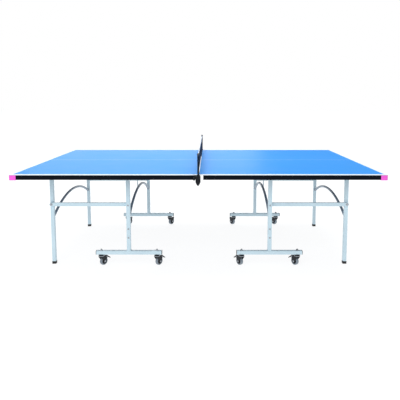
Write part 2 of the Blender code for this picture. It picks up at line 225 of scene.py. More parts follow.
def makeFinishGroup():
    # handling marks and powder grain
    group, start, end = newGroup(
        "finishGrain",
        [
            ("Vector", "NodeSocketVector", None),
            ("Colour", "NodeSocketColor", (0.8, 0.8, 0.8, 1.0)),
            ("Mark Colour", "NodeSocketColor", (0.6, 0.6, 0.6, 1.0)),
            ("Mark Amount", "NodeSocketFloat", 0.2),
            ("Roughness", "NodeSocketFloat", 0.4),
            ("Roughness Spread", "NodeSocketFloat", 0.1),
            ("Grain Scale", "NodeSocketFloat", 900.0),
        ],
        [
            ("Colour", "NodeSocketColor"),
            ("Roughness", "NodeSocketFloat"),
            ("Height", "NodeSocketFloat"),
        ],
    )
    vector = start.outputs["Vector"]
    broad = noiseNode(group, vector, 5.0, 4.0, 0.6)
    fine = noiseNode(group, vector, start.outputs["Grain Scale"], 2.0, 0.5)
    patch = mathNode(group, "MULTIPLY", mathNode(group, "SUBTRACT", broad, 0.35), 2.2, True)
    amount = mathNode(group, "MULTIPLY", patch, start.outputs["Mark Amount"])
    colour = mixColour(group, amount, start.outputs["Colour"], start.outputs["Mark Colour"])
    spread = mathNode(
        group, "MULTIPLY", mathNode(group, "SUBTRACT", broad, 0.5), start.outputs["Roughness Spread"]
    )
    rough = mathNode(group, "ADD", start.outputs["Roughness"], spread, True)
    linkTo(group, colour, end.inputs["Colour"])
    linkTo(group, rough, end.inputs["Roughness"])
    linkTo(group, fine, end.inputs["Height"])
    return group


finishGroup = makeFinishGroup()


def newMaterial(name):
    material = bpy.data.materials.new(name)
    material.use_nodes = True
    tree = material.node_tree
    shader = tree.nodes["Principled BSDF"]
    coordinates = tree.nodes.new("ShaderNodeTexCoord").outputs["Object"]
    return material, tree, shader, coordinates


def addBump(tree, shader, height, strength, distance):
    bump = tree.nodes.new("ShaderNodeBump")
    bump.inputs["Strength"].default_value = strength
    bump.inputs["Distance"].default_value = distance
    linkTo(tree, height, bump.inputs["Height"])
    linkTo(tree, bump.outputs["Normal"], shader.inputs["Normal"])


def addGrain(tree, coordinates, colour, marks, markAmount, rough, spread, grain):
    group = tree.nodes.new("ShaderNodeGroup")
    group.node_tree = finishGroup
    linkTo(tree, coordinates, group.inputs["Vector"])
    group.inputs["Colour"].default_value = (*colour, 1.0)
    group.inputs["Mark Colour"].default_value = (*marks, 1.0)
    group.inputs["Mark Amount"].default_value = markAmount
    group.inputs["Roughness"].default_value = rough
    group.inputs["Roughness Spread"].default_value = spread
    group.inputs["Grain Scale"].default_value = grain
    return group


def finish(name, bump, metallic=0.0, gloss=0.5, **grainLook):
    material, tree, shader, coordinates = newMaterial(name)
    group = addGrain(tree, coordinates, **grainLook)
    linkTo(tree, group.outputs["Colour"], shader.inputs["Base Color"])
    linkTo(tree, group.outputs["Roughness"], shader.inputs["Roughness"])
    shader.inputs["Metallic"].default_value = metallic
    shader.inputs["Specular IOR Level"].default_value = gloss
    addBump(tree, shader, group.outputs["Height"], bump, 0.0004)
    return material


boardLook = {
    "blue": (0.006, 0.250, 0.740),
    "blueMarks": (0.012, 0.280, 0.780),
    "line": (0.76, 0.83, 0.89),
    "under": (0.10, 0.12, 0.15),
    "edgeLine": 0.020,
    "centreLine": 0.003,
    "markAmount": 0.35,
    "roughness": 0.44,
    "roughnessSpread": 0.08,
    "lineRoughness": 0.12,
    "grain": 1500.0,
    "gloss": 0.13,
}


def makeBoardMaterial():
    # blue lacquer, white court lines and a white edge, with a grey underside
    material, tree, shader, coordinates = newMaterial("boardLacquer")
    axes = tree.nodes.new("ShaderNodeSeparateXYZ")
    linkTo(tree, coordinates, axes.inputs[0])
    across = mathNode(tree, "ABSOLUTE", axes.outputs["Y"])
    along = mathNode(tree, "ABSOLUTE", axes.outputs["X"])
    width = boardLook["edgeLine"]
    sideLine = mathNode(tree, "GREATER_THAN", across, table["halfWidth"] - width)
    endLine = mathNode(tree, "GREATER_THAN", along, table["halfLength"] - width)
    centre = mathNode(tree, "LESS_THAN", across, boardLook["centreLine"] / 2)
    lines = mathNode(tree, "MAXIMUM", mathNode(tree, "MAXIMUM", sideLine, endLine), centre)
    group = addGrain(
        tree, coordinates, boardLook["blue"], boardLook["blueMarks"], boardLook["markAmount"],
        boardLook["roughness"], boardLook["roughnessSpread"], boardLook["grain"],
    )
    top = mixColour(tree, lines, group.outputs["Colour"], (*boardLook["line"], 1.0))
    under = mathNode(tree, "LESS_THAN", axes.outputs["Z"], table["boardUnder"] + 0.0003)
    colour = mixColour(tree, under, top, (*boardLook["under"], 1.0))
    linkTo(tree, colour, shader.inputs["Base Color"])
    lineRough = mathNode(tree, "MULTIPLY", lines, boardLook["lineRoughness"])
    rough = mathNode(tree, "ADD", group.outputs["Roughness"], lineRough)
    linkTo(tree, rough, shader.inputs["Roughness"])
    shader.inputs["Specular IOR Level"].default_value = boardLook["gloss"]
    addBump(tree, shader, group.outputs["Height"], 0.12, 0.0003)
    return material


finishes = {
    "apronPowder": {
        "colour": (0.003, 0.0045, 0.008), "marks": (0.008, 0.011, 0.017), "markAmount": 0.5,
        "rough": 0.50, "spread": 0.15, "grain": 1400, "bump": 0.3, "gloss": 0.04,
    },
    "framePowder": {
        "colour": (0.60, 0.77, 0.86), "marks": (0.48, 0.63, 0.73), "markAmount": 0.45,
        "rough": 0.36, "spread": 0.15, "grain": 1100, "bump": 0.35,
    },
    # the arches wear the same pale powder as the frame; this darker copy of it is painted shade for
    # the shadow under the table
    "archPowderPaintedShade": {
        "colour": (0.235, 0.305, 0.385), "marks": (0.170, 0.230, 0.310), "markAmount": 0.45,
        "rough": 0.34, "spread": 0.15, "grain": 1100, "bump": 0.35, "gloss": 0.35,
    },
    "cornerMoulding": {
        "colour": (0.94, 0.115, 0.72), "marks": (0.84, 0.085, 0.62), "markAmount": 0.35,
        "rough": 0.44, "spread": 0.1, "grain": 700, "bump": 0.25,
    },
    "blackMoulding": {
        "colour": (0.004, 0.005, 0.008), "marks": (0.014, 0.017, 0.022), "markAmount": 0.5,
        "rough": 0.40, "spread": 0.2, "grain": 800, "bump": 0.3, "gloss": 0.15,
    },
    "postPowder": {
        "colour": (0.004, 0.008, 0.018), "marks": (0.010, 0.016, 0.028), "markAmount": 0.5,
        "rough": 0.36, "spread": 0.15, "grain": 1200, "bump": 0.3, "gloss": 0.12,
    },
    "forkPlastic": {
        "colour": (0.006, 0.008, 0.012), "marks": (0.022, 0.027, 0.034), "markAmount": 0.5,
        "rough": 0.28, "spread": 0.2, "grain": 800, "bump": 0.25, "gloss": 0.3,
    },
    "treadRubber": {
        "colour": (0.24, 0.29, 0.34), "marks": (0.13, 0.15, 0.18), "markAmount": 0.6,
        "rough": 0.55, "spread": 0.2, "grain": 500, "bump": 0.4,
    },
    "footRubber": {
        "colour": (0.012, 0.012, 0.014), "marks": (0.05, 0.05, 0.05), "markAmount": 0.5,
        "rough": 0.75, "spread": 0.2, "grain": 400, "bump": 0.5,
    },
    "zincPlate": {
        "colour": (0.46, 0.49, 0.53), "marks": (0.30, 0.32, 0.35), "markAmount": 0.6,
        "rough": 0.30, "spread": 0.25, "grain": 300, "bump": 0.2, "metallic": 1.0,
    },
    "paintedWeld": {
        "colour": (0.60, 0.72, 0.80), "marks": (0.46, 0.57, 0.66), "markAmount": 0.6,
        "rough": 0.42, "spread": 0.2, "grain": 260, "bump": 0.9,
    },
}

boardPaint = makeBoardMaterial()
paints = {name: finish(name, **look) for name, look in finishes.items()}
print("finishes made")


def makeClothMaterial(name, colour, dark, scale, rough):
    # a plain weave, as two crossed sets of threads
    material, tree, shader, coordinates = newMaterial(name)
    axes = tree.nodes.new("ShaderNodeSeparateXYZ")
    linkTo(tree, coordinates, axes.inputs[0])
    warp = mathNode(tree, "SINE", mathNode(tree, "MULTIPLY", axes.outputs["Y"], scale))
    weft = mathNode(tree, "SINE", mathNode(tree, "MULTIPLY", axes.outputs["Z"], scale))
    weave = mathNode(tree, "MULTIPLY", warp, weft)
    height = mathNode(tree, "MULTIPLY_ADD", weave, 0.5, third=0.5)
    cloud = noiseNode(tree, coordinates, 40.0, 3.0)
    # the thread colour darkens in the low valleys of the weave as painted shade, and also varies at
    # random with the cloud noise
    tone = mathNode(tree, "MULTIPLY", mathNode(tree, "ADD", height, cloud), 0.5, True)
    linkTo(tree, mixColour(tree, tone, (*dark, 1.0), (*colour, 1.0)), shader.inputs["Base Color"])
    roughness = mathNode(tree, "MULTIPLY_ADD", cloud, 0.15, third=rough)
    linkTo(tree, roughness, shader.inputs["Roughness"])
    shader.inputs["Sheen Weight"].default_value = 0.1
    shader.inputs["Specular IOR Level"].default_value = 0.2
    addBump(tree, shader, height, 0.4, 0.0004)
    return material


weaves = {
    "netTwine": {
        "colour": (0.012, 0.036, 0.085), "dark": (0.005, 0.016, 0.042), "scale": 5200, "rough": 0.62,
    },
    "tapeCloth": {
        "colour": (0.80, 0.85, 0.90), "dark": (0.58, 0.65, 0.72), "scale": 4200, "rough": 0.70,
    },
    "hemCloth": {
        "colour": (0.022, 0.060, 0.130), "dark": (0.010, 0.030, 0.070), "scale": 4200, "rough": 0.70,
    },
}
cloths = {name: makeClothMaterial(name, **look) for name, look in weaves.items()}


plainFinishes = (
    ("_board", boardPaint),
    ("_frame", paints["apronPowder"]),
    ("_upright", paints["framePowder"]),
    ("_foot_tube", paints["framePowder"]),
    ("_end_leg", paints["framePowder"]),
    ("_link_bar", paints["framePowder"]),
    ("_lock_hook", paints["framePowder"]),
    ("_fork", paints["forkPlastic"]),
    ("_brake_pedal", paints["blackMoulding"]),
    ("_rubber_foot", paints["footRubber"]),
)
for name, node in nodes.items():
    for ending, material in plainFinishes:
        if name.endswith(ending):
            for slot in node.material_slots:
                slot.link = "OBJECT"
                slot.material = material
print("main pieces finished")


def geometryTree(name, inputs):
    tree = bpy.data.node_groups.new(name, "GeometryNodeTree")
    tree.interface.new_socket("Geometry", in_out="INPUT", socket_type="NodeSocketGeometry")
    for label, kind, value in inputs:
        socket = tree.interface.new_socket(label, in_out="INPUT", socket_type=kind)
        if value is not None:
            socket.default_value = value
    tree.interface.new_socket("Geometry", in_out="OUTPUT", socket_type="NodeSocketGeometry")
    return tree, tree.nodes.new("NodeGroupInput"), tree.nodes.new("NodeGroupOutput")


def vectorOf(tree, x=None, y=None, z=None):
    node = tree.nodes.new("ShaderNodeCombineXYZ")
    for socket, value in zip(node.inputs, (x, y, z)):
        if value is not None:
            linkTo(tree, value, socket)
    return node.outputs[0]


def tubeAlong(tree, curve, radius, sideCount):
    ring = tree.nodes.new("GeometryNodeCurvePrimitiveCircle")
    ring.inputs["Resolution"].default_value = sideCount
    linkTo(tree, radius, ring.inputs["Radius"])
    tube = tree.nodes.new("GeometryNodeCurveToMesh")
    tube.inputs["Fill Caps"].default_value = True
    linkTo(tree, curve, tube.inputs["Curve"])
    linkTo(tree, ring.outputs["Curve"], tube.inputs["Profile Curve"])
    return tube.outputs[0]


def sendOut(tree, start, end, geometry):
    # makes the copies real and gives them the tree's material
    real = tree.nodes.new("GeometryNodeRealizeInstances")
    linkTo(tree, geometry, real.inputs[0])
    paint = tree.nodes.new("GeometryNodeSetMaterial")
    linkTo(tree, real.outputs[0], paint.inputs["Geometry"])
    linkTo(tree, start.outputs["Material"], paint.inputs["Material"])
    linkTo(tree, paint.outputs[0], end.inputs[0])


def makeFastenerTree():
    # a washer, a head and its chamfer, stood on every point along that point's aim
    tree, start, end = geometryTree(
        "fastenerSet",
        [
            ("Head Radius", "NodeSocketFloat", 0.006),
            ("Head Height", "NodeSocketFloat", 0.004),
            ("Head Sides", "NodeSocketInt", 6),
            ("Washer Radius", "NodeSocketFloat", 0.008),
            ("Washer Thickness", "NodeSocketFloat", 0.001),
            ("Material", "NodeSocketMaterial", None),
        ],
    )

    def sized(kind, sidesSocket, radius, depth, lift, topRadius=None):
        body = tree.nodes.new(kind)
        if isinstance(sidesSocket, int):
            body.inputs["Vertices"].default_value = sidesSocket
        else:
            linkTo(tree, sidesSocket, body.inputs["Vertices"])
        if kind == "GeometryNodeMeshCone":
            linkTo(tree, radius, body.inputs["Radius Bottom"])
            linkTo(tree, topRadius, body.inputs["Radius Top"])
        else:
            linkTo(tree, radius, body.inputs["Radius"])
        linkTo(tree, depth, body.inputs["Depth"])
        move = tree.nodes.new("GeometryNodeTransform")
        linkTo(tree, body.outputs["Mesh"], move.inputs["Geometry"])
        linkTo(tree, vectorOf(tree, z=lift), move.inputs["Translation"])
        return move.outputs["Geometry"]

    radius = start.outputs["Head Radius"]
    height = start.outputs["Head Height"]
    washer = start.outputs["Washer Thickness"]
    chamfer = mathNode(tree, "MULTIPLY", height, 0.3)
    straight = mathNode(tree, "SUBTRACT", height, chamfer)
    pieces = [
        sized(
            "GeometryNodeMeshCylinder", 24, start.outputs["Washer Radius"], washer,
            mathNode(tree, "MULTIPLY", washer, 0.5),
        ),
        sized(
            "GeometryNodeMeshCylinder", start.outputs["Head Sides"], radius, straight,
            mathNode(tree, "ADD", washer, mathNode(tree, "MULTIPLY", straight, 0.5)),
        ),
        sized(
            "GeometryNodeMeshCone", start.outputs["Head Sides"], radius, chamfer,
            mathNode(tree, "ADD", washer, straight),
            mathNode(tree, "MULTIPLY", radius, 0.78),
        ),
    ]
    join = tree.nodes.new("GeometryNodeJoinGeometry")
    for geometry in pieces:
        linkTo(tree, geometry, join.inputs[0])
    aim = tree.nodes.new("GeometryNodeInputNamedAttribute")
    aim.data_type = "FLOAT_VECTOR"
    aim.inputs["Name"].default_value = "aim"
    align = tree.nodes.new("FunctionNodeAlignRotationToVector")
    align.axis = "Z"
    linkTo(tree, aim.outputs[0], align.inputs["Vector"])
    spread = tree.nodes.new("GeometryNodeInstanceOnPoints")
    linkTo(tree, start.outputs["Geometry"], spread.inputs["Points"])
    linkTo(tree, join.outputs[0], spread.inputs["Instance"])
    linkTo(tree, align.outputs[0], spread.inputs["Rotation"])
    sendOut(tree, start, end, spread.outputs[0])
    return tree


def setInputs(modifier, tree, values):
    for item in tree.interface.items_tree:
        if item.item_type == "SOCKET" and item.in_out == "INPUT" and item.name in values:
            modifier[item.identifier] = values[item.name]


def grown(name, base, tree, values, material, body, stands=(), smooth=False):
    # runs a tree on a base mesh and keeps the result as one plain piece
    maker = bpy.data.objects.new(name + "Maker", base)
    scene.collection.objects.link(maker)
    modifier = maker.modifiers.new("grow", "NODES")
    modifier.node_group = tree
    setInputs(modifier, tree, {**values, "Material": material})
    graph = bpy.context.evaluated_depsgraph_get()
    mesh = bpy.data.meshes.new_from_object(maker.evaluated_get(graph))
    maker.modifiers.remove(modifier)
    bpy.data.objects.remove(maker)
    for attribute in list(mesh.attributes):
        if attribute.name == "aim":
            mesh.attributes.remove(attribute)
    if smooth:
        mesh.shade_smooth()
        mesh.set_sharp_from_angle(angle=math.radians(50))
    return addPiece(name, mesh, material, body, stands)


def pointsMesh(points):
    mesh = bpy.data.meshes.new("points")
    mesh.from_pydata([place for place, direction in points], [], [])
    aim = mesh.attributes.new("aim", "FLOAT_VECTOR", "POINT")
    for entry, (place, direction) in zip(aim.data, points):
        entry.vector = direction
    return mesh


fastenerTree = makeFastenerTree()
fastenerKinds = {
    "pivot": {"Head Radius": 0.0085, "Head Height": 0.005, "Head Sides": 6,
              "Washer Radius": 0.0105, "Washer Thickness": 0.0008},
    "screw": {"Head Radius": 0.0058, "Head Height": 0.0032, "Head Sides": 20,
              "Washer Radius": 0.0070, "Washer Thickness": 0.0006},
    "stem": {"Head Radius": 0.0090, "Head Height": 0.0080, "Head Sides": 6,
             "Washer Radius": 0.0120, "Washer Thickness": 0.0012},
    "axle": {"Head Radius": 0.0068, "Head Height": 0.0042, "Head Sides": 6,
             "Washer Radius": 0.0085, "Washer Thickness": 0.0006},
    "small": {"Head Radius": 0.0040, "Head Height": 0.0020, "Head Sides": 16,
              "Washer Radius": 0.0052, "Washer Thickness": 0.0004},
}


def addFasteners(name, kind, points, body):
    base = pointsMesh(points)
    grown(name, base, fastenerTree, fastenerKinds[kind], paints["zincPlate"], body)


ties = {
    "screwHeights": (0.297, 0.227),
    "lugOuter": 0.5745,
    "lugInner": 0.4875,
    "linkOuter": 0.5386,
    "weldRadius": 0.0024,
    "archTube": 0.0105,
    "skin": 0.0002,
    "endCap": 0.0035,
    "topCap": 0.0025,
    "footWeld": 0.0028,
    "footWeldOut": 0.0018,
}


def makeArchTree():
    # a smooth bowed tube from one upright to the other
    tree, start, end = geometryTree(
        "bowedTube",
        [
            ("Half Span", "NodeSocketFloat", 0.54),
            ("End Height", "NodeSocketFloat", 0.385),
            ("Crown Height", "NodeSocketFloat", 0.53),
            ("Level", "NodeSocketFloat", 0.012),
            ("Tube Radius", "NodeSocketFloat", 0.0105),
            ("X", "NodeSocketFloat", 0.55),
            ("Material", "NodeSocketMaterial", None),
        ],
    )
    half = start.outputs["Half Span"]
    line = tree.nodes.new("GeometryNodeCurvePrimitiveLine")
    line.inputs["Start"].default_value = (0.0, -1.0, 0.0)
    line.inputs["End"].default_value = (0.0, 1.0, 0.0)
    split = tree.nodes.new("GeometryNodeResampleCurve")
    split.inputs["Count"].default_value = 97
    linkTo(tree, line.outputs[0], split.inputs["Curve"])
    place = tree.nodes.new("GeometryNodeInputPosition")
    axes = tree.nodes.new("ShaderNodeSeparateXYZ")
    linkTo(tree, place.outputs[0], axes.inputs[0])
    y = mathNode(tree, "MULTIPLY", axes.outputs["Y"], half)
    bow = mathNode(tree, "SUBTRACT", half, start.outputs["Level"])
    rise = mathNode(tree, "SUBTRACT", start.outputs["Crown Height"], start.outputs["End Height"])
    bowSquare = mathNode(tree, "MULTIPLY", bow, bow)
    total = mathNode(tree, "ADD", bowSquare, mathNode(tree, "MULTIPLY", rise, rise))
    radius = mathNode(tree, "DIVIDE", total, mathNode(tree, "MULTIPLY", rise, 2.0))
    reach = mathNode(tree, "MINIMUM", mathNode(tree, "ABSOLUTE", y), bow)
    radiusSquare = mathNode(tree, "MULTIPLY", radius, radius)
    inside = mathNode(tree, "SUBTRACT", radiusSquare, mathNode(tree, "MULTIPLY", reach, reach))
    height = mathNode(
        tree, "ADD", mathNode(tree, "SUBTRACT", start.outputs["Crown Height"], radius),
        mathNode(tree, "SQRT", inside),
    )
    move = tree.nodes.new("GeometryNodeSetPosition")
    linkTo(tree, split.outputs[0], move.inputs["Geometry"])
    linkTo(tree, vectorOf(tree, start.outputs["X"], y, height), move.inputs["Position"])
    tube = tubeAlong(tree, move.outputs[0], start.outputs["Tube Radius"], 24)
    sendOut(tree, start, end, tube)
    return tree


archTree = makeArchTree()
arches = {
    "trolley": {"Half Span": 0.5397, "End Height": 0.385, "Crown Height": 0.530},
    "leg": {"Half Span": 0.4917, "End Height": 0.380, "Crown Height": 0.497},
}


def weldRing(place, direction, radius):
    bead = ties["weldRadius"]
    profile = []
    for step in range(8):
        angle = 2 * math.pi * step / 8
        across = radius + bead * math.cos(angle) * 0.9
        profile.append((across, bead * math.sin(angle) * 0.8 + bead * 0.8))
    return placed(turned(profile, 28), aimed(place, direction))


def capOver(x, y, half, top):
    low = (x - half, y - half, top)
    return roundedBox(low, (x + half, y + half, top + ties["topCap"]), 0.0011)


for half, way in halves:
    trolley = half + "_trolley"
    legBody = half + "_legs"
    x = way * table["uprightX"]
    legX = way * table["legX"]
    for key, body, archX, node in (
        ("trolley", trolley, x, half + "_trolley_arch"),
        ("leg", legBody, legX, half + "_leg_arch"),
    ):
        arch = arches[key]
        seed = bpy.data.meshes.new("archSeed")
        arcName = half + key.capitalize() + "Arch"
        grown(
            arcName, seed, archTree, {**arch, "X": archX}, paints["archPowderPaintedShade"], body,
            (node,), True,
        )
        beads = []
        for sideName, side in sides:
            spot = (archX, side * arch["Half Span"], arch["End Height"])
            beads.append(weldRing(spot, (0, -side, 0), ties["archTube"]))
        addPiece(arcName + "Welds", together(beads, "welds"), paints["paintedWeld"], body)

    pivots = []
    screws = []
    legPivots = []
    caps = []
    legCaps = []
    welds = []
    for sideName, side in sides:
        face = side * (table["uprightY"] + table["uprightHalf"] + ties["skin"])
        out = (0, side, 0)
        screws += [((x, face, height), out) for height in ties["screwHeights"]]
        screws.append(((x, face, table["linkHeight"]), out))
        pivots.append(((x, side * (ties["lugOuter"] + ties["skin"]), table["pivotHeight"]), out))
        legPivots.append(((legX, side * ties["linkOuter"], table["linkHeight"]), out))
        legPivots.append(
            ((legX, side * (ties["lugInner"] - ties["skin"]), table["pivotHeight"]), (0, -side, 0))
        )
        y = side * table["uprightY"]
        legY = side * table["legY"]
        wide = table["uprightHalf"]
        for end in (-1, 1):
            start = x + end * (table["footHalf"] + ties["skin"])
            stop = start + end * ties["endCap"]
            low = (min(start, stop), y - wide, table["footUnder"])
            high = (max(start, stop), y + wide, table["footTop"])
            caps.append(roundedBox(low, high, 0.0016))
        top = table["headHeight"] + ties["skin"]
        caps.append(capOver(x, y, wide, top))
        legCaps.append(capOver(legX, legY, table["legHalf"], top))
        grow = wide + ties["footWeldOut"]
        foot = table["footTop"] + ties["skin"]
        low = (x - grow, y - wide + 0.0002, foot)
        high = (x + grow, y + wide - 0.0002, foot + ties["footWeld"])
        welds.append(roundedBox(low, high, 0.0012))
    addFasteners(half + "FoldPivots", "pivot", pivots, trolley)
    addFasteners(half + "UprightScrews", "screw", screws, trolley)
    addFasteners(half + "LegPivots", "pivot", legPivots, legBody)
    addPiece(half + "TrolleyCaps", together(caps, "caps"), paints["blackMoulding"], trolley)
    addPiece(half + "LegCaps", together(legCaps, "caps"), paints["blackMoulding"], legBody)
    addPiece(half + "FootWelds", together(welds, "welds"), paints["paintedWeld"], trolley)
print("trolleys and legs detailed")


castor = {
    "spacing": 0.2185,
    "heading": 53.5,
    "trail": 0.022,
    "wheelRadius": 0.032,
    "wheelHalf": 0.012,
    "pedalPin": (0.0420, 0.0659),
    "hubRadius": 0.0225,
    "bore": 0.0044,
    "ribs": 6,
    "axleNutOut": 0.0167,
    "rivetOut": 0.0166,
    "ringLift": 0.0068,
}


def tyreMesh():
    radius = castor["wheelRadius"]
    half = castor["wheelHalf"]
    inner = castor["hubRadius"] + 0.0002
    shoulder = [
        (inner, half - 0.0012), (radius - 0.0035, half - 0.0006), (radius - 0.0012, half - 0.0022)
    ]
    profile = list(shoulder)
    for step in range(9):
        height = (half - 0.0032) * (1 - step / 4)
        groove = 0.0006 if step % 2 else 0.0
        crown = 0.0010 * (height / half) ** 2
        profile.append((radius - crown - groove, height))
    profile += [(across, -height) for across, height in reversed(shoulder)]
    return turned(profile, 40)


def hubMesh():
    half = castor["wheelHalf"]
    hub = castor["hubRadius"]
    bore = castor["bore"]
    profile = [
        (bore, half), (0.0095, half), (0.0105, half - 0.0012), (0.0112, half - 0.0046),
        (0.0195, half - 0.0046), (0.0203, half - 0.0012), (hub, half - 0.0010),
    ]
    profile += [(across, -height) for across, height in reversed(profile)]
    shapes = [turned(profile, 36)]
    for step in range(castor["ribs"]):
        turn = Matrix.Rotation(2 * math.pi * step / castor["ribs"], 4, "Z")
        rib = roundedBox((0.0100, -0.0011, -half + 0.0018), (0.0201, 0.0011, half - 0.0018), 0.0004, 1)
        shapes.append(placed(rib, turn))
    return together(shapes, "hub")


tyre = tyreMesh()
hub = hubMesh()
ringMiddle = table["headUnder"] + castor["ringLift"]
ringEdge = ((0.0212, 0.0022), (0.0232, 0.0016), (0.0236, 0.0), (0.0232, -0.0016), (0.0212, -0.0022))
raceRing = turned([(radius, ringMiddle + lift) for radius, lift in ringEdge], 36)

for half, way in halves:
    for sideName, side in sides:
        for post, along in (("inner", -1), ("outer", 1)):
            label = f"{half}_{sideName}_{post}"
            angle = castor["heading"] if half == "left" else 180 - castor["heading"]
            place = Matrix.Translation(
                (way * (table["uprightX"] + along * castor["spacing"]), side * table["uprightY"], 0.0)
            )
            local = place @ Matrix.Rotation(math.radians(angle), 4, "Z")
            axle = local @ Matrix.Translation((castor["trail"], 0.0, castor["wheelRadius"]))
            wheel = axle @ Matrix.Rotation(math.radians(-90), 4, "X")
            addPiece(
                label + "_tyre", placed(tyre, wheel), paints["treadRubber"], label + "_wheel_body",
                (label + "_wheel",),
            )
            addPiece(label + "_hub", placed(hub, wheel), paints["forkPlastic"], label + "_wheel_body")
            body = label + "_castor"
            addPiece(label + "_race_ring", placed(raceRing, local), paints["zincPlate"], body)
            points = [((local @ Vector((0, 0, table["footTop"] + 0.0003))), (0, 0, 1))]
            addFasteners(label + "_stem_nut", "stem", points, body)
            pinX, pinZ = castor["pedalPin"]
            ends = []
            pin = []
            for end in (-1, 1):
                outward = local.to_3x3() @ Vector((0, end, 0))
                ends.append((axle @ Vector((0, end * castor["axleNutOut"], 0)), outward))
                pin.append((local @ Vector((pinX, end * castor["rivetOut"], pinZ)), outward))
            addFasteners(label + "_axle_nuts", "axle", ends, body)
            addFasteners(label + "_pedal_rivets", "small", pin, body)
print("castors detailed")


boardFittings = {
    "screwNear": 0.012,
    "screwFar": 0.034,
    "screwHeight": 0.7185,
    "hookPin": (0.012, 0.0089, 0.595),
}

for half, way in halves:
    body = half + "_top"
    screws = []
    for sideName, side in sides:
        node = f"{half}_{sideName}_corner"
        addPiece(
            node + "_moulding", softened(node, 0.0012), paints["cornerMoulding"], body,
            (node,),
        )
        close = boardFittings["screwNear"]
        away = boardFittings["screwFar"]
        for inX, inY in ((close, away), (away, close)):
            spotX = way * (table["halfLength"] - inX)
            spotY = side * (table["halfWidth"] - inY)
            screws.append(((spotX, spotY, boardFittings["screwHeight"]), (0, 0, -1)))
    addFasteners(half + "CornerScrews", "small", screws, body)
    hookX, hookY, hookZ = boardFittings["hookPin"]
    hookSpot = (way * (table["uprightX"] + hookX), way * hookY, hookZ)
    addFasteners(half + "HookPin", "small", [(hookSpot, (0, way, 0))], body)
print("boards detailed")


net = {
    "halfWidth": 0.7755,
    "bottom": 0.7625,
    "top": 0.9125,
    "tapeHeight": 0.015,
    "tapeHalf": 0.0019,
    "mesh": 0.0095,
    "twine": 0.00125,
    "sway": 0.0006,
    "hem": 0.012,
    "postY": 0.785,
    "postRadius": 0.0072,
    "loopOut": 0.001,
    "loopHalf": 0.003,
    "loopHeights": (0.7750, 0.8200, 0.8650, 0.9010),
    "stitchCount": 256,
    "stitchPitch": 0.006,
    "stitchUp": 0.0025,
    "knob": (-0.0202, 0.7815, 0.7320),
    "boltX": -0.0220,
    "boltZ": 0.7245,
    "boltY": (0.708, 0.738),
}


def makeNetTree():
    # upright and level twines, each one waved a little where it crosses the others
    tree, start, end = geometryTree(
        "knottedNet",
        [
            ("Half Width", "NodeSocketFloat", 0.77),
            ("Bottom", "NodeSocketFloat", 0.7625),
            ("Top", "NodeSocketFloat", 0.90),
            ("Mesh Size", "NodeSocketFloat", 0.0095),
            ("Twine Radius", "NodeSocketFloat", 0.001),
            ("Sway", "NodeSocketFloat", 0.0006),
            ("Seed", "NodeSocketInt", 7),
            ("Material", "NodeSocketMaterial", None),
        ],
    )
    half = start.outputs["Half Width"]
    size = start.outputs["Mesh Size"]
    width = mathNode(tree, "MULTIPLY", half, 2.0)
    tall = mathNode(tree, "SUBTRACT", start.outputs["Top"], start.outputs["Bottom"])

    def countAlong(distance):
        whole = mathNode(tree, "FLOOR", mathNode(tree, "DIVIDE", distance, size))
        return mathNode(tree, "ADD", whole, 1.0)

    def twineSet(span, length, firstPoint, step, lineEnd):
        points = tree.nodes.new("GeometryNodeMeshLine")
        linkTo(tree, countAlong(span), points.inputs["Count"])
        linkTo(tree, firstPoint, points.inputs["Start Location"])
        linkTo(tree, step, points.inputs["Offset"])
        line = tree.nodes.new("GeometryNodeCurvePrimitiveLine")
        linkTo(tree, lineEnd, line.inputs["End"])
        cuts = tree.nodes.new("GeometryNodeResampleCurve")
        linkTo(tree, line.outputs[0], cuts.inputs["Curve"])
        linkTo(tree, countAlong(length), cuts.inputs["Count"])
        copies = tree.nodes.new("GeometryNodeInstanceOnPoints")
        linkTo(tree, points.outputs[0], copies.inputs["Points"])
        linkTo(tree, cuts.outputs[0], copies.inputs["Instance"])
        real = tree.nodes.new("GeometryNodeRealizeInstances")
        linkTo(tree, copies.outputs[0], real.inputs[0])
        return real.outputs[0]

    minusHalf = mathNode(tree, "MULTIPLY", half, -1.0)
    first = vectorOf(tree, y=minusHalf, z=start.outputs["Bottom"])
    uprights = twineSet(width, tall, first, vectorOf(tree, y=size), vectorOf(tree, z=tall))
    levels = twineSet(tall, width, first, vectorOf(tree, z=size), vectorOf(tree, y=width))
    both = tree.nodes.new("GeometryNodeJoinGeometry")
    linkTo(tree, uprights, both.inputs[0])
    linkTo(tree, levels, both.inputs[0])
    jitter = tree.nodes.new("FunctionNodeRandomValue")
    jitter.data_type = "FLOAT_VECTOR"
    jitter.inputs[0].default_value = (-1.0, -1.0, -1.0)
    jitter.inputs[1].default_value = (1.0, 1.0, 1.0)
    linkTo(tree, start.outputs["Seed"], jitter.inputs["Seed"])
    scaled = tree.nodes.new("ShaderNodeVectorMath")
    scaled.operation = "SCALE"
    linkTo(tree, jitter.outputs[0], scaled.inputs[0])
    linkTo(tree, start.outputs["Sway"], scaled.inputs["Scale"])
    move = tree.nodes.new("GeometryNodeSetPosition")
    linkTo(tree, both.outputs[0], move.inputs["Geometry"])
    linkTo(tree, scaled.outputs[0], move.inputs["Offset"])
    tube = tubeAlong(tree, move.outputs[0], start.outputs["Twine Radius"], 6)
    sendOut(tree, start, end, tube)
    return tree


netTree = makeNetTree()
netSheet = grown(
    "netMesh", bpy.data.meshes.new("netSeed"), netTree,
    {
        "Half Width": net["halfWidth"] - net["twine"],
        "Bottom": net["bottom"] + net["twine"],
        "Top": net["top"] - net["tapeHeight"] / 2,
        "Mesh Size": net["mesh"],
        "Twine Radius": net["twine"],
        "Sway": net["sway"],
    },
    cloths["netTwine"], "net_set", ("net",), True,
)

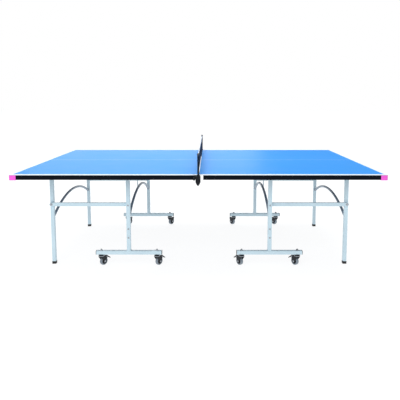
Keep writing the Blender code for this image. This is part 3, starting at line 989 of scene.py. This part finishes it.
tapeLow = net["top"] - net["tapeHeight"]
tapeEnds = (
    (-net["tapeHalf"], -net["halfWidth"], tapeLow),
    (net["tapeHalf"], net["halfWidth"], net["top"]),
)
tape = addPiece("netTape", roundedBox(*tapeEnds, 0.0012), cloths["tapeCloth"], "net_set")
hems = []
for sideName, side in sides:
    edges = sorted((side * net["halfWidth"], side * (net["halfWidth"] - net["hem"])))
    hems.append(roundedBox((-0.0016, edges[0], net["bottom"]), (0.0016, edges[1], tapeLow), 0.0008))
hem = addPiece("netHems", together(hems, "hems"), cloths["hemCloth"], "net_set")


def makeStitchTree():
    # a row of short stitches along Y on both faces of the tape
    tree, start, end = geometryTree(
        "stitchRow",
        [
            ("Count", "NodeSocketInt", 200),
            ("Pitch", "NodeSocketFloat", 0.006),
            ("First", "NodeSocketVector", (0.0, 0.0, 0.0)),
            ("Stitch Length", "NodeSocketFloat", 0.004),
            ("Thread Radius", "NodeSocketFloat", 0.0004),
            ("Material", "NodeSocketMaterial", None),
        ],
    )
    points = tree.nodes.new("GeometryNodeMeshLine")
    linkTo(tree, start.outputs["Count"], points.inputs["Count"])
    linkTo(tree, start.outputs["First"], points.inputs["Start Location"])
    linkTo(tree, vectorOf(tree, y=start.outputs["Pitch"]), points.inputs["Offset"])
    thread = tree.nodes.new("GeometryNodeMeshCylinder")
    thread.inputs["Vertices"].default_value = 6
    linkTo(tree, start.outputs["Thread Radius"], thread.inputs["Radius"])
    linkTo(tree, start.outputs["Stitch Length"], thread.inputs["Depth"])
    lay = tree.nodes.new("GeometryNodeTransform")
    lay.inputs["Rotation"].default_value = (math.radians(90), 0.0, 0.0)
    linkTo(tree, thread.outputs["Mesh"], lay.inputs["Geometry"])
    copies = tree.nodes.new("GeometryNodeInstanceOnPoints")
    linkTo(tree, points.outputs[0], copies.inputs["Points"])
    linkTo(tree, lay.outputs[0], copies.inputs["Instance"])
    sendOut(tree, start, end, copies.outputs[0])
    return tree


stitchTree = makeStitchTree()
for faceName, face in (("Left", -1), ("Right", 1)):
    pitch = net["stitchPitch"]
    first = (
        face * (net["tapeHalf"] + 0.0001), -net["halfWidth"] + pitch, tapeLow + net["stitchUp"]
    )
    grown(
            "tapeStitches" + faceName, bpy.data.meshes.new("stitchSeed"), stitchTree,
            {"Count": net["stitchCount"], "Pitch": pitch, "First": first},
            cloths["tapeCloth"], "net_set",
        )

postProfile = [
    (0.0, 0.9180), (0.0060, 0.9180), (0.0082, 0.9172), (0.0090, 0.9158), (0.0090, 0.9112),
    (0.0084, 0.9106), (0.0072, 0.9102), (0.0070, 0.9040), (0.0070, 0.7660), (0.0076, 0.7652),
    (0.0118, 0.7622), (0.0120, 0.7612), (0.0120, 0.7530), (0.0114, 0.7524), (0.0, 0.7523),
]
collarProfile = [
    (0.0071, 0.9100), (0.0084, 0.9098), (0.0086, 0.9086), (0.0084, 0.9074), (0.0071, 0.9072)
]
knobProfile = [
    (0.0, 0.0165), (0.0090, 0.0165), (0.0112, 0.0150), (0.0118, 0.0125), (0.0118, 0.0065),
    (0.0110, 0.0050), (0.0050, 0.0042), (0.0045, 0.0002), (0.0, 0.0002),
]
for sideName, side in sides:
    spot = Matrix.Translation((0.0, side * net["postY"], 0.0))
    tongue = roundedBox((-0.004, -0.006, 0.7120), (0.004, 0.006, 0.7540), 0.0006, 1)
    node = sideName + "_net_post"
    addPiece(
        node + "_turned", together([placed(turned(postProfile), spot), placed(tongue, spot)], "post"),
        paints["postPowder"], "net_set", (node,),
    )
    addPiece(node + "_collar", placed(turned(collarProfile), spot), paints["zincPlate"], "net_set")
    loops = []
    loopEnds = sorted((side * (net["halfWidth"] - net["loopOut"]), side * (net["postY"] - 0.0074)))
    inner = net["postRadius"]
    outer = inner + net["loopOut"]
    for height in net["loopHeights"]:
        low = height - net["loopHalf"]
        high = height + net["loopHalf"]
        ring = turned([(inner, high), (outer, high), (outer, low), (inner, low)], 28)
        loops.append(placed(ring, spot))
        strap = roundedBox((-0.0012, loopEnds[0], low), (0.0012, loopEnds[1], high), 0.0004, 1)
        loops.append(strap)
    addPiece(node + "_loops", together(loops, "loops"), cloths["hemCloth"], "net_set")

    bracket = sideName + "_net_bracket"
    addPiece(
        bracket + "_moulding", softened(bracket, 0.0014), paints["blackMoulding"], "left_top",
        (bracket,),
    )
    knobX, knobY, knobZ = net["knob"]
    knobPlace = aimed((knobX, side * knobY, knobZ), (-1, 0, 0))
    knob = turned(knobProfile, 18)
    addPiece(bracket + "_knob", placed(knob, knobPlace), paints["blackMoulding"], "left_top")
    bolts = [((net["boltX"], side * y, net["boltZ"]), (0, 0, -1)) for y in net["boltY"]]
    addFasteners(bracket + "_bolts", "small", bolts, "left_top")

print("net made")


studio = {
    "floorGlow": 0.88,
    "floorColour": (0.20, 0.21, 0.22),
    "floorReach": 40.0,
    "skyLight": 0.55,
}
softLights = {
    "frontSoftbox": {
        "place": (-1.5, -4.5, 3.2), "target": (0.0, 0.0, 0.6), "size": (3.5, 2.5), "power": 75.0,
    },
    "overheadSoftbox": {
        "place": (0.0, 0.5, 4.2), "target": (0.0, 0.0, 0.7), "size": (5.0, 3.0), "power": 150.0,
    },
    "sheenPanel": {
        "place": (-1.2, 4.2, 1.7), "target": (-0.4, 0.0, 0.76), "size": (4.6, 1.8), "power": 36.0,
    },
}

floorMesh = bpy.data.meshes.new("floor")
reach = studio["floorReach"]
floorCorners = [(-reach, -reach, 0), (reach, -reach, 0), (reach, reach, 0), (-reach, reach, 0)]
floorMesh.from_pydata(floorCorners, [], [(0, 1, 2, 3)])
floor = bpy.data.objects.new("floor", floorMesh)
scene.collection.objects.link(floor)
floorMaterial = bpy.data.materials.new("paleFloor")
floorMaterial.use_nodes = True
floorShader = floorMaterial.node_tree.nodes["Principled BSDF"]
floorShader.inputs["Base Color"].default_value = (*studio["floorColour"], 1.0)
floorShader.inputs["Roughness"].default_value = 0.9
floorShader.inputs["Specular IOR Level"].default_value = 0.1
floorShader.inputs["Emission Color"].default_value = (1.0, 1.0, 1.0, 1.0)
floorShader.inputs["Emission Strength"].default_value = studio["floorGlow"]
floorMesh.materials.append(floorMaterial)

# the backdrop looks white, and the light it throws on the table is softer than that
world = bpy.data.worlds.new("studio")
scene.world = world
world.use_nodes = True
skyTree = world.node_tree
sky = skyTree.nodes["Background"]
sky.inputs["Color"].default_value = (1.0, 1.0, 1.0, 1.0)
path = skyTree.nodes.new("ShaderNodeLightPath")
strength = mathNode(
    skyTree, "MULTIPLY_ADD", path.outputs["Is Camera Ray"], 1.0 - studio["skyLight"],
    third=studio["skyLight"],
)
linkTo(skyTree, strength, sky.inputs["Strength"])


def addSoftLight(name, place, target, size, power):
    light = bpy.data.lights.new(name, "AREA")
    light.shape = "RECTANGLE"
    light.size, light.size_y = size
    light.energy = power
    lamp = bpy.data.objects.new(name, light)
    lamp.location = place
    lamp.rotation_euler = (Vector(target) - Vector(place)).to_track_quat("-Z", "Y").to_euler()
    lamp.visible_camera = False
    scene.collection.objects.link(lamp)


for name, light in softLights.items():
    addSoftLight(name, **light)

lens = bpy.data.cameras.new("camera")
lens.lens = camera["lens"]
lens.sensor_width = 36.0
lens.shift_x, lens.shift_y = camera["shift"]
lens.clip_end = 200.0
viewer = bpy.data.objects.new("camera", lens)
viewer.location = camera["place"]
viewer.rotation_euler = (math.radians(90 - camera["pitch"]), 0.0, 0.0)
scene.collection.objects.link(viewer)
scene.camera = viewer
scene.view_settings.view_transform = "Standard"
print("studio ready")
